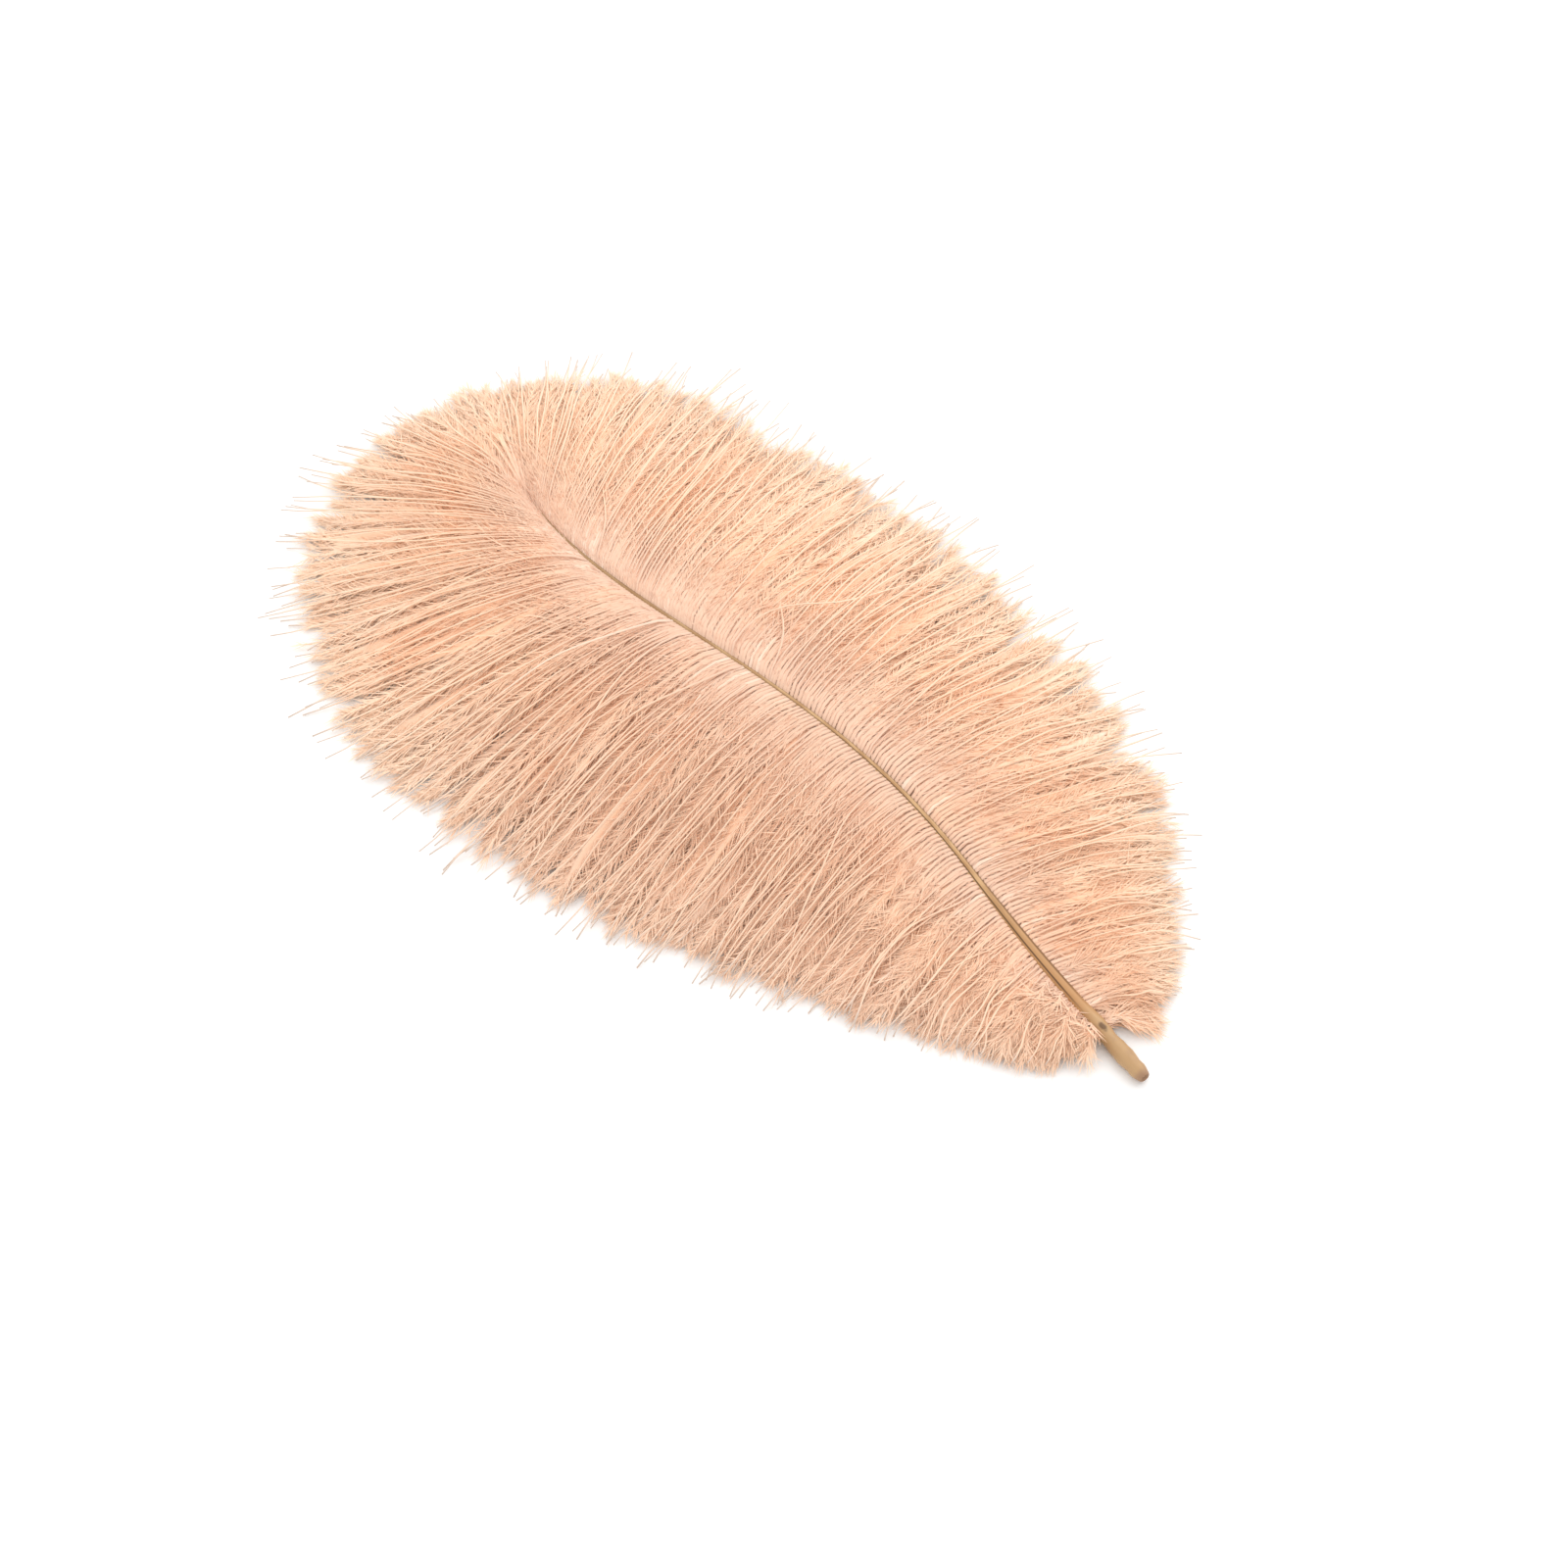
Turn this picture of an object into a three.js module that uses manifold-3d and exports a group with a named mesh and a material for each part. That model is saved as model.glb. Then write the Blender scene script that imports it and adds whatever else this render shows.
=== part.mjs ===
// An ostrich feather lying on a surface, hollow side down.
// Millimetres, +Z up. +X runs from the quill's cut end to the tip, and +Y is the left vane.
// The origin is the middle of the flat underside of the calamus, on the surface.
// A feather grows as one piece, so the shaft, the vanes and their locks of barbs are one solid.
import * as THREE from "three";
import { mergeVertices } from "three/addons/utils/BufferGeometryUtils.js";
import Module from "manifold-3d";

// The shaft
const calamusLength = 14;
const calamusRadius = 1.6;
const cutEndRounding = 2;
const shaftEnd = 165; // x where the shaft runs out
const shaftTipRadius = 0.35;
const archHeight = 13.5; // how far the shaft rises off the surface
const archSpan = 0.8; // share of a full rise and fall that the shaft shows
const bow = 18; // how far the shaft swings towards +Y
const bowStart = 0.23; // share of the shaft that stays straight
const bowSpan = 1.24; // length of a full swing and return, in lengths of the shaft

// The barbs: lengths, and headings in degrees from the shaft's own direction
const vaneStart = 2; // from the calamus to the first barb
const longestBarb = 60;
const baseShortfall = 0.78; // share by which the first barbs are shorter
const tipShortfall = 0.5; // share by which the last ones are
const lopsided = 0.08; // share by which the base of the left vane is shorter, and the right's longer
const baseHeading = 104;
const headingFall = 50; // how far the barbs lean forward along the whole shaft
const fanFall = 42; // and how much more in the fan at its end
const flexure = 14; // how far a barb bends back along its own length
const puff = 1.6; // how far the vane swells above a plain droop
const barbTip = 0.3; // half the thickness at a tip

// The vanes
const vaneLobes = 22; // clumps of barbs along one vane
const lobeDepth = 0.17; // share of a barb by which the gaps between clumps fall short
const lobeUnevenness = 0.06;
const lobeLift = 2; // the most that a clump's tip stays off the surface
const ridgeHalfHeight = 1.5;
const valleyHalfHeight = 0.5;

// The looser locks that lie on the vanes
const locksPerSide = 16;
const lockStart = 0.22; // share of a barb at which a lock lifts off the vane
const lockReach = 1.02; // length in lengths of the barbs beside it
const lockUnevenness = 0.06;
const lockSwerve = 5; // the most degrees by which a lock strays from its neighbours
const lockHalfWidth = 3.6;
const lockHalfHeight = 1.5;
const lockLift = 1.4; // how far its middle rises off the vane
const lockTipLift = 3; // the most that its tip stays off the surface

// Facets
const shaftSides = 12;
const shaftSteps = 30;
const lockSides = 4;
const lockSteps = 6;
const vaneRows = 6;

const barbColour = new THREE.Color(0.93, 0.68, 0.5);

const wasm = await Module();
wasm.setup();

const halfCalamus = calamusLength / 2;
const shaftAxis = calamusRadius * Math.cos(Math.PI / shaftSides); // its lowest facet lies on the surface

// A repeatable number from -1 to 1 for each clump or lock and each use
function vary(index, use) {
  const wave = Math.sin(index * 12.9898 + use * 78.233) * 43758.5453;
  return 2 * (wave - Math.floor(wave)) - 1;
}

// The shaft's centre line, for t from 0 at the cut end to 1
function shaftPoint(t) {
  const x = THREE.MathUtils.lerp(-halfCalamus, shaftEnd, t);
  const along = Math.max(0, (x - halfCalamus) / (shaftEnd - halfCalamus));
  const swing = Math.max(0, along - bowStart) / bowSpan;
  return new THREE.Vector3(
    x,
    bow * Math.sin(Math.PI * swing) ** 2,
    shaftAxis + archHeight * Math.sin(archSpan * Math.PI * along) ** 2,
  );
}

// Half the thickness of the shaft: a rounded cut end, an even calamus, then a long taper
function shaftRadius(t) {
  const x = THREE.MathUtils.lerp(-halfCalamus, shaftEnd, t);
  const fromEnd = Math.min(1, (x + halfCalamus) / cutEndRounding);
  if (x < halfCalamus) return calamusRadius * (0.45 + 0.55 * Math.sqrt(fromEnd));
  const along = (x - halfCalamus) / (shaftEnd - halfCalamus);
  return THREE.MathUtils.lerp(calamusRadius, shaftTipRadius, Math.pow(along, 0.6));
}

// A closed tube round a path: a cylinder whose rings are carried along it
function sweep(sides, steps, pointAt, halfWidthAt, halfHeightAt, turn = 0) {
  const tube = new THREE.CylinderGeometry(1, 1, 1, sides, steps).rotateY(turn);
  const position = tube.getAttribute("position");
  const nudge = 1e-3;
  for (let i = 0; i < position.count; i++) {
    const t = position.getY(i) + 0.5;
    const ahead = pointAt(Math.min(1, t + nudge));
    const tangent = ahead.sub(pointAt(Math.max(0, t - nudge))).normalize();
    const side = new THREE.Vector3().crossVectors(tangent, THREE.Object3D.DEFAULT_UP).normalize();
    const up = new THREE.Vector3().crossVectors(side, tangent);
    const place = pointAt(t)
      .addScaledVector(side, position.getX(i) * halfWidthAt(t))
      .addScaledVector(up, position.getZ(i) * halfHeightAt(t));
    position.setXYZ(i, place.x, place.y, Math.max(0, place.z));
  }
  return tube;
}

function solidOf(geometry) {
  geometry.deleteAttribute("normal");
  geometry.deleteAttribute("uv");
  const merged = mergeVertices(geometry, 1e-4);
  return new wasm.Manifold(
    new wasm.Mesh({
      numProp: 3,
      vertProperties: merged.getAttribute("position").array,
      triVerts: new Uint32Array(merged.index.array),
    }),
  );
}

function geometryOf(solid) {
  const mesh = solid.getMesh();
  const geometry = new THREE.BufferGeometry();
  geometry.setAttribute("position", new THREE.BufferAttribute(mesh.vertProperties, 3));
  geometry.setIndex(new THREE.BufferAttribute(mesh.triVerts, 1));
  const faceted = geometry.toNonIndexed();
  faceted.computeVertexNormals();
  return faceted;
}

// A barb's length, and its heading where it leaves the shaft, for u from 0 at the vane's base to 1
function barbLength(u, side) {
  const outline = (1 - baseShortfall * (1 - u) ** 3) * (1 - tipShortfall * u ** 10);
  return longestBarb * outline * (1 - lopsided * side * (1 - u));
}

function barbHeading(u) {
  return baseHeading - headingFall * u - fanFall * u ** 6;
}

// The line of a barb that leaves the shaft at u: an arc that starts level, droops and ends along the surface
function barbPath(u, side, share, turn, clearance) {
  const firstRoot = (calamusLength + vaneStart) / (shaftEnd + halfCalamus);
  const rootAt = THREE.MathUtils.lerp(firstRoot, 0.999, u);
  const root = shaftPoint(rootAt);
  const along = shaftPoint(rootAt + 1e-3).sub(root).setZ(0).normalize();
  const across = new THREE.Vector3(-along.y, along.x, 0).multiplyScalar(side);
  const start = THREE.MathUtils.degToRad(barbHeading(u) + turn);
  const bend = THREE.MathUtils.degToRad(flexure * (1 - u ** 8) + 1);
  const radius = (barbLength(u, side) * share) / bend;
  return (t) => {
    const droop = THREE.MathUtils.lerp(clearance, root.z, Math.cos((Math.PI / 2) * t) ** 2);
    return root
      .clone()
      .addScaledVector(along, radius * (Math.sin(start + bend * t) - Math.sin(start)))
      .addScaledVector(across, radius * (Math.cos(start) - Math.cos(start + bend * t)))
      .setZ(droop + puff * Math.sin(Math.PI * t));
  };
}

// A whole vane: a slab bent along its barbs, with a ridge down each clump and its outer edge cut into lobes
function vane(side) {
  const slab = new THREE.BoxGeometry(1, 1, 1, 2 * vaneLobes, vaneRows, 1);
  const position = slab.getAttribute("position");
  for (let i = 0; i < position.count; i++) {
    const u = side * position.getX(i) + 0.5; // mirrored for the right vane, so that its faces still point out
    const t = position.getY(i) + 0.5;
    const onTop = position.getZ(i) > 0;
    const lobe = Math.floor(u * vaneLobes);
    const ridge = Math.abs(Math.sin(Math.PI * u * vaneLobes)); // 1 on a clump, 0 between two
    const share = 1 - lobeDepth * (1 - ridge) + lobeUnevenness * ridge * vary(lobe, side);
    const clearance = valleyHalfHeight + Math.max(0, lobeLift * ridge * vary(lobe, side + 4));
    const place = barbPath(u, side, share, 0, clearance)(t);
    const crown = ridge * Math.sin(Math.PI * Math.sqrt(t));
    const fullness = Math.max(barbTip, THREE.MathUtils.lerp(valleyHalfHeight, ridgeHalfHeight, crown));
    const height = onTop ? Math.max(2 * barbTip, place.z + fullness) : Math.max(0, place.z - fullness);
    position.setXYZ(i, place.x, place.y, height);
  }
  return slab;
}

// One looser lock, which lifts off the vane part of the way along its barbs
function lock(index, u, side) {
  const share = lockReach + lockUnevenness * vary(index, side + 8);
  const clearance = barbTip + Math.max(0, lockTipLift * vary(index, side + 12));
  const path = barbPath(u, side, share, lockSwerve * vary(index, side + 16), clearance);
  const pointAt = (t) => {
    const place = path(THREE.MathUtils.lerp(lockStart, 1, t));
    return place.setZ(place.z + lockLift * Math.sin(Math.PI * t));
  };
  const taperAt = (t) => Math.sqrt(1 - 0.995 * t ** 4);
  const spreadAt = (t) => 0.35 + 0.65 * Math.sin((Math.PI / 2) * Math.min(1, t / 0.6));
  const widthAt = (t) => lockHalfWidth * spreadAt(t) * taperAt(t);
  const heightAt = (t) => lockHalfHeight * (0.5 + 0.5 * Math.sin(Math.PI * t)) * taperAt(t);
  return sweep(lockSides, lockSteps, pointAt, widthAt, heightAt);
}

function makeFeather() {
  const onFacet = Math.PI / shaftSides; // turns a facet, and not an edge, to the surface
  let solid = solidOf(sweep(shaftSides, shaftSteps, shaftPoint, shaftRadius, shaftRadius, onFacet));
  for (const side of [1, -1]) {
    solid = solid.add(solidOf(vane(side)));
    for (let i = 0; i < locksPerSide; i++) {
      solid = solid.add(solidOf(lock(i, (i + 0.6) / locksPerSide, side)));
    }
  }
  solid = solid.add(solidOf(lock(locksPerSide, 1, 1))); // the last one goes straight on from the shaft's end
  const material = new THREE.MeshStandardMaterial({ color: barbColour, roughness: 0.85, metalness: 0 });
  const mesh = new THREE.Mesh(geometryOf(solid), material);
  mesh.name = "ostrich_feather";
  return mesh;
}

const group = new THREE.Group();
group.add(makeFeather());

export default group;
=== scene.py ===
import math

import bmesh
import bpy
import numpy as np
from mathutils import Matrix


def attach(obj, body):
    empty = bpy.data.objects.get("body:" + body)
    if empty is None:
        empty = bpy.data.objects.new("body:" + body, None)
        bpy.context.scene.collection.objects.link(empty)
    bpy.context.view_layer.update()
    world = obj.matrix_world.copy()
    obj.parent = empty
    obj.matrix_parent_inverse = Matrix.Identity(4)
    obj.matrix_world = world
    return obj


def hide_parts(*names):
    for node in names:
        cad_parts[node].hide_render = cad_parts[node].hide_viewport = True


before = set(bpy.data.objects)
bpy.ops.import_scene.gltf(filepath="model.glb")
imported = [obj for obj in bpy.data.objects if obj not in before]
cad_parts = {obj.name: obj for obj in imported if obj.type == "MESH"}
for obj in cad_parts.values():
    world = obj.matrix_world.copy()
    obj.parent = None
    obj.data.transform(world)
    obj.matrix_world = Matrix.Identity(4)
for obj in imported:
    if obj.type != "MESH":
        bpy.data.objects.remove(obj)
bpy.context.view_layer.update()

mm = 0.001
rng = np.random.default_rng(7)

# The shaft's centre line and the barbs' outline, as the solid has them
shaft = {
    "calamus": 14 * mm,  # bare length at the cut end
    "radius": 1.6 * mm,
    "tipRadius": 0.35 * mm,
    "end": 165 * mm,
    "archHeight": 13.5 * mm,  # how far it rises off the surface
    "archSpan": 0.8,  # share of a full rise and fall that it shows
    "bow": 18 * mm,  # how far it swings towards +Y
    "bowStart": 0.23,  # share of it that stays straight
    "bowSpan": 1.24,  # length of a full swing and return, in lengths of the shaft
}
vane = {
    "start": 2 * mm,  # from the calamus to the first barb
    "longest": 60 * mm,
    "baseShortfall": 0.78,  # share by which the first barbs are shorter
    "tipShortfall": 0.5,  # share by which the last ones are
    "lopsided": 0.08,  # share by which the base of the left vane is shorter, and the right's longer
    "baseHeading": 104,  # degrees from the shaft's direction
    "headingFall": 50,  # how far the barbs lean forward along the whole shaft
    "fanFall": 42,  # and how much more in the fan at its end
    "flexure": 14,  # how far a barb bends back along its own length
}
halfCalamus = shaft["calamus"] / 2
shaftAxis = shaft["radius"] * math.cos(math.pi / 12)  # the solid's lowest facet lies on the surface


def mix(low, high, share):
    return low + (high - low) * share


def smooth(share):
    share = np.clip(share, 0, 1)
    return share * share * (3 - 2 * share)


def shaftPoint(x):
    along = np.clip((x - halfCalamus) / (shaft["end"] - halfCalamus), 0, None)
    swing = np.clip(along - shaft["bowStart"], 0, None) / shaft["bowSpan"]
    y = shaft["bow"] * np.sin(np.pi * swing) ** 2
    z = shaftAxis + shaft["archHeight"] * np.sin(shaft["archSpan"] * np.pi * along) ** 2
    return np.stack(np.broadcast_arrays(x, y, z), -1)


def shaftRadius(x):
    along = np.clip((x - halfCalamus) / (shaft["end"] - halfCalamus), 0, 1)
    return mix(shaft["radius"], shaft["tipRadius"], along ** 0.6)


def barbHeading(u):
    return vane["baseHeading"] - vane["headingFall"] * u - vane["fanFall"] * u ** 6


def barbPoint(u, side, t, share, turn, clearance, puff):
    # A point t of the way along the barb that leaves the shaft at u; every value may be an array
    rootX = mix(halfCalamus + vane["start"], shaft["end"] - 0.2 * mm, u)
    root = shaftPoint(rootX)
    ahead = shaftPoint(rootX + 0.1 * mm) - root
    heading = np.arctan2(ahead[..., 1], ahead[..., 0])
    outline = (1 - vane["baseShortfall"] * (1 - u) ** 3) * (1 - vane["tipShortfall"] * u ** 10)
    length = vane["longest"] * outline * (1 - vane["lopsided"] * side * (1 - u)) * share
    start = np.radians(barbHeading(u) + turn)
    bend = np.radians(vane["flexure"] * (1 - u ** 8) + 1)
    forward = (length / bend) * (np.sin(start + bend * t) - np.sin(start))
    across = (length / bend) * (np.cos(start) - np.cos(start + bend * t)) * side
    x = root[..., 0] + forward * np.cos(heading) - across * np.sin(heading)
    y = root[..., 1] + forward * np.sin(heading) + across * np.cos(heading)
    droop = mix(clearance, root[..., 2], np.cos(np.pi / 2 * t) ** 2)
    z = droop + puff * np.sin(np.pi * t)
    return np.stack(np.broadcast_arrays(x, y, z), -1)


# Shader trees

class Wire:
    # One output of a shader tree, on which sums are written as sums
    def __init__(self, shader, socket):
        self.shader = shader
        self.socket = socket

    def sum(self, operation, first, second):
        return self.shader.node("ShaderNodeMath", {"operation": operation}, {0: first, 1: second})

    def __add__(self, other):
        return self.sum("ADD", self, other)

    def __sub__(self, other):
        return self.sum("SUBTRACT", self, other)

    def __rsub__(self, other):
        return self.sum("SUBTRACT", other, self)

    def __mul__(self, other):
        return self.sum("MULTIPLY", self, other)

    def __pow__(self, other):
        return self.sum("POWER", self, other)


class Shader:
    def __init__(self, name):
        self.material = bpy.data.materials.new(name)
        self.material.use_nodes = True
        self.nodes = self.material.node_tree.nodes
        self.links = self.material.node_tree.links
        self.surface = self.nodes["Principled BSDF"]

    def feed(self, socket, value):
        if isinstance(value, Wire):
            self.links.new(value.socket, socket)
        else:
            socket.default_value = value

    def node(self, kind, settings, sockets, output=0):
        made = self.nodes.new(kind)
        for key, value in settings.items():
            if key == "stops":
                ramp = made.color_ramp.elements
                while len(ramp) < len(value):
                    ramp.new(0.5)
                for stop, (place, colour) in zip(ramp, value):
                    stop.position = place
                    stop.color = (*colour, 1)
            else:
                setattr(made, key, value)
        for key, value in sockets.items():
            self.feed(made.inputs[key], value)
        return Wire(self, made.outputs[output])

    def parts(self, kind, whole):
        # The channels of a colour, or the coordinates of a place
        made = self.nodes.new(kind)
        self.links.new(whole.socket, made.inputs[0])
        return [Wire(self, output) for output in made.outputs]

    def clamped(self, value, low, high):
        # The value's place between low and high, from 0 to 1
        ends = {"Value": value, "From Min": low, "From Max": high}
        return self.node("ShaderNodeMapRange", {"interpolation_type": "SMOOTHSTEP"}, ends)

    def blend(self, share, first, second):
        settings = {"data_type": "RGBA"}
        first = first if isinstance(first, Wire) else (*first, 1)
        second = second if isinstance(second, Wire) else (*second, 1)
        return self.node("ShaderNodeMix", settings, {0: share, 6: first, 7: second}, 2)

    def noise(self, place, scale, detail=2.0, stretch=(1, 1, 1)):
        moved = self.node("ShaderNodeMapping", {}, {"Vector": place, "Scale": stretch})
        return self.node("ShaderNodeTexNoise", {}, {"Vector": moved, "Scale": scale, "Detail": detail})

    def bump(self, height, strength, distance):
        values = {"Height": height, "Strength": strength, "Distance": distance}
        return self.node("ShaderNodeBump", {}, values)

    def set(self, **sockets):
        for key, value in sockets.items():
            self.feed(self.surface.inputs[key.replace("_", " ")], value)


# Barbs and barbules. A strand's data, kept at its points as the attribute "strand":
# red is how far out along its barb it is, green is a tint of its own, blue is its share of painted shade, for
# lying low in the vane

barbFinish = {
    "root": (0.765, 0.505, 0.375),
    "middle": (0.96, 0.67, 0.47),
    "tip": (0.99, 0.75, 0.565),
    "patchToneAndShade": (0.95, 0.53, 0.30),  # a darker tone in random patches, and painted shade where strands lie low in the vane under others
    "patchShare": 0.35,
    "paleAndHighlight": (0.995, 0.79, 0.64),  # on some strands: a paler tone of their own, partly a painted highlight where barbs catch the light
    "paleAndHighlightShare": 0.55,
    "dull": (0.66, 0.545, 0.465),  # at the ends of the wisps, and on a few barbules
    "dullShare": 0.8,
    "leftVaneShade": (0.84, 0.555, 0.40),  # painted shade: a darker tone over the left vane, which the light reaches less, fading out towards its tip
    "leftVaneShadeShare": 0.45,
    "leftVaneShadeDrift": 60 * mm,  # how unevenly its edge runs
    "roughness": 0.75,
    "specular": 0.25,
    "sheen": 0.25,
    "grain": 0.3,
}


def peachFinish(name, grained):
    look = barbFinish
    shader = Shader(name)
    strand = shader.node("ShaderNodeAttribute", {"attribute_name": "strand"}, {})
    outward, tint, depth = shader.parts("ShaderNodeSeparateColor", strand)
    place = shader.node("ShaderNodeTexCoord", {}, {}, "Object")
    stops = [(0.0, look["root"]), (0.45, look["middle"]), (1.0, look["tip"])]
    colour = shader.node("ShaderNodeValToRGB", {"stops": stops}, {"Fac": outward})
    patches = shader.noise(place, 60.0, 3.0)
    colour = shader.blend(shader.clamped(patches, 0.5, 0.8) * look["patchShare"], colour, look["patchToneAndShade"])
    along, sideways = shader.parts("ShaderNodeSeparateXYZ", place)[:2]
    # painted shade over the left vane, fading out towards its tip, with an uneven edge
    drift = (shader.noise(place, 24.0) - 0.5) * look["leftVaneShadeDrift"]
    towardsBase = 1 - shader.clamped(along, 80 * mm, 140 * mm)
    leftVaneShade = shader.clamped(sideways + drift, -10 * mm, 30 * mm) * towardsBase
    colour = shader.blend(leftVaneShade * look["leftVaneShadeShare"], colour, look["leftVaneShade"])
    # a paler tone on strands with a high tint, partly painted highlight
    colour = shader.blend(shader.clamped(tint, 0.72, 1.0) * look["paleAndHighlightShare"], colour, look["paleAndHighlight"])
    dull = (1 - shader.clamped(tint, 0.03, 0.09)) * shader.clamped(outward, 0.86, 0.98)
    colour = shader.blend(dull * look["dullShare"], colour, look["dull"])
    # painted shade on strands that lie low in the vane, fading out towards their outer ends
    colour = shader.blend(depth * (1 - shader.clamped(outward, 0.6, 0.92)), colour, look["patchToneAndShade"])
    shader.set(Base_Color=colour, Roughness=look["roughness"])
    if grained:
        fine = shader.noise(place, 2600.0)
        shader.set(Normal=shader.bump(fine, look["grain"], 0.1 * mm))
    shader.set(Sheen_Weight=look["sheen"], Specular_IOR_Level=look["specular"])
    return shader.material


def joinedMesh(name, points, faces, strand, bakePlaces, material, smoothShading):
    # One mesh from arrays: points (n, 3), triangles or quads (m, k), strand data for each point,
    # and a place in the bake for each corner
    corners = faces.shape[1]
    mesh = bpy.data.meshes.new(name)
    mesh.vertices.add(len(points))
    mesh.vertices.foreach_set("co", points.astype(np.float32).ravel())
    mesh.loops.add(faces.size)
    mesh.loops.foreach_set("vertex_index", faces.astype(np.int32).ravel())
    mesh.polygons.add(len(faces))
    mesh.polygons.foreach_set("loop_start", np.arange(0, faces.size, corners, dtype=np.int32))
    mesh.polygons.foreach_set("use_smooth", np.full(len(faces), smoothShading))
    bakeMap = mesh.uv_layers.new(name="OFBake")
    bakeMap.data.foreach_set("uv", bakePlaces.astype(np.float32).ravel())
    colours = mesh.attributes.new("strand", "FLOAT_COLOR", "POINT")
    padded = np.concatenate([strand, np.ones((len(strand), 1))], 1)
    colours.data.foreach_set("color", padded.astype(np.float32).ravel())
    mesh.update(calc_edges=True)
    mesh.validate()
    piece = bpy.data.objects.new(name, mesh)
    bpy.context.scene.collection.objects.link(piece)
    mesh.materials.append(material)
    return piece


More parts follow.
